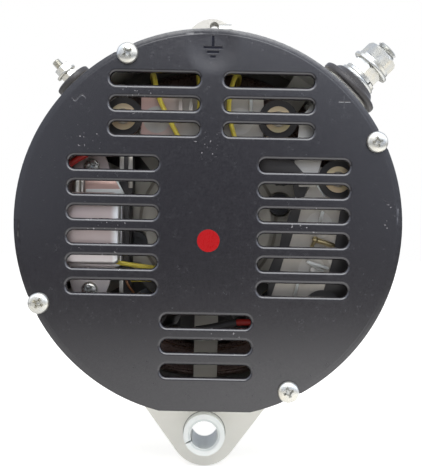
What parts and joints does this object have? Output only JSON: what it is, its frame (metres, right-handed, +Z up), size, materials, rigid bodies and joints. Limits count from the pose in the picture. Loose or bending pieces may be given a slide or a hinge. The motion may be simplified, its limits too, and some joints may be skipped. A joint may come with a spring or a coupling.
{
  "type": "alternator",
  "caption": "Brushless vehicle alternator with slotted rear cover, radial terminals, pivot foot, cooling fan and twin vee pulley.",
  "frame": {"origin": "rear mouth of the pivot bush bore, on the bore's axis", "axes": "+Y along the shaft towards the pulley, +Z up, X across"},
  "size_m": [0.177, 0.1972, 0.2224],
  "materials": {
    "black_cover": "satin black",
    "zinc": "pale zinc plate",
    "cast_aluminium": "as cast",
    "bush_steel": "plain",
    "laminations": "stacked sheet",
    "pole_iron": "machined",
    "winding": "varnished copper wire",
    "coil_wrap": "varnished",
    "bearing_steel": "ground",
    "shaft_steel": "turned",
    "sink_plate": "plain",
    "black_insulator": "moulded",
    "tan_washer": "passivated",
    "dark_bolt": "oiled",
    "diode": "nickelled",
    "regulator": "plain",
    "copper_strap": "tinned",
    "yellow_lead": "sleeve",
    "red_lead": "sleeve",
    "fan_sheet": "black",
    "pulley_iron": "machined",
    "retaining_ring": "plain"
  },
  "bodies": {
    "housing": {"rear_cover": "black_cover", "rear_cover_screws": "zinc", "rear_bracket": "cast_aluminium", "bracket_foot": "cast_aluminium", "pivot_bush": "bush_steel", "front_bracket": "cast_aluminium", "through_bolts": "zinc", "stator_core": "laminations", "stator_winding": "winding", "field_core": "pole_iron", "field_coil": "coil_wrap", "field_bolts": "dark_bolt", "rear_bearing_outer": "bearing_steel", "front_bearing_outer": "bearing_steel", "bearing_retainer": "bush_steel", "retainer_screws": "zinc", "top_heat_sink": "sink_plate", "side_heat_sink": "sink_plate", "top_diodes": "diode", "side_diodes": "diode", "sink_spacers": "black_insulator", "sink_rings": "black_insulator", "sink_washers": "tan_washer", "sink_bolts": "zinc", "regulator_can": "regulator", "regulator_base": "regulator", "regulator_screws": "zinc", "b_strap": "copper_strap", "ear_screw": "zinc", "stator_leads": "yellow_lead", "red_lead": "red_lead", "b_insulator": "black_insulator", "b_inner_bush": "black_insulator", "b_stud": "zinc", "b_washers": "zinc", "b_spring_washers": "zinc", "b_nuts": "zinc", "r_insulator": "black_insulator", "r_inner_bush": "black_insulator", "r_stud": "zinc", "r_nuts": "zinc", "r_washer": "zinc"},
    "rotor": {"shaft": "shaft_steel", "front_pole": "pole_iron", "rear_pole": "pole_iron", "pole_ring": "retaining_ring", "bearing_spacer": "bush_steel", "fan_spacer": "bush_steel", "fan": "fan_sheet", "pulley": "pulley_iron", "pulley_key": "shaft_steel", "lock_washer": "zinc", "pulley_nut": "zinc", "rear_bearing_inner": "bearing_steel", "front_bearing_inner": "bearing_steel"},
    "rear_cage": {"rear_bearing_balls": "bearing_steel"},
    "front_cage": {"front_bearing_balls": "bearing_steel"}
  },
  "joints": [
    {"name": "shaft_spin", "type": "hinge", "parent": "housing", "child": "rotor", "pos_m": [0, 0, 0.099], "axis": [0, 1, 0], "continuous": true},
    {"name": "rear_cage_spin", "type": "hinge", "parent": "housing", "child": "rear_cage", "pos_m": [0, 0, 0.099], "axis": [0, 1, 0], "continuous": true},
    {"name": "front_cage_spin", "type": "hinge", "parent": "housing", "child": "front_cage", "pos_m": [0, 0, 0.099], "axis": [0, 1, 0], "continuous": true}
  ],
  "couplings": [
    {"joint": "rear_cage_spin", "follows": "shaft_spin", "ratio": 0.375},
    {"joint": "front_cage_spin", "follows": "shaft_spin", "ratio": 0.3759}
  ]
}
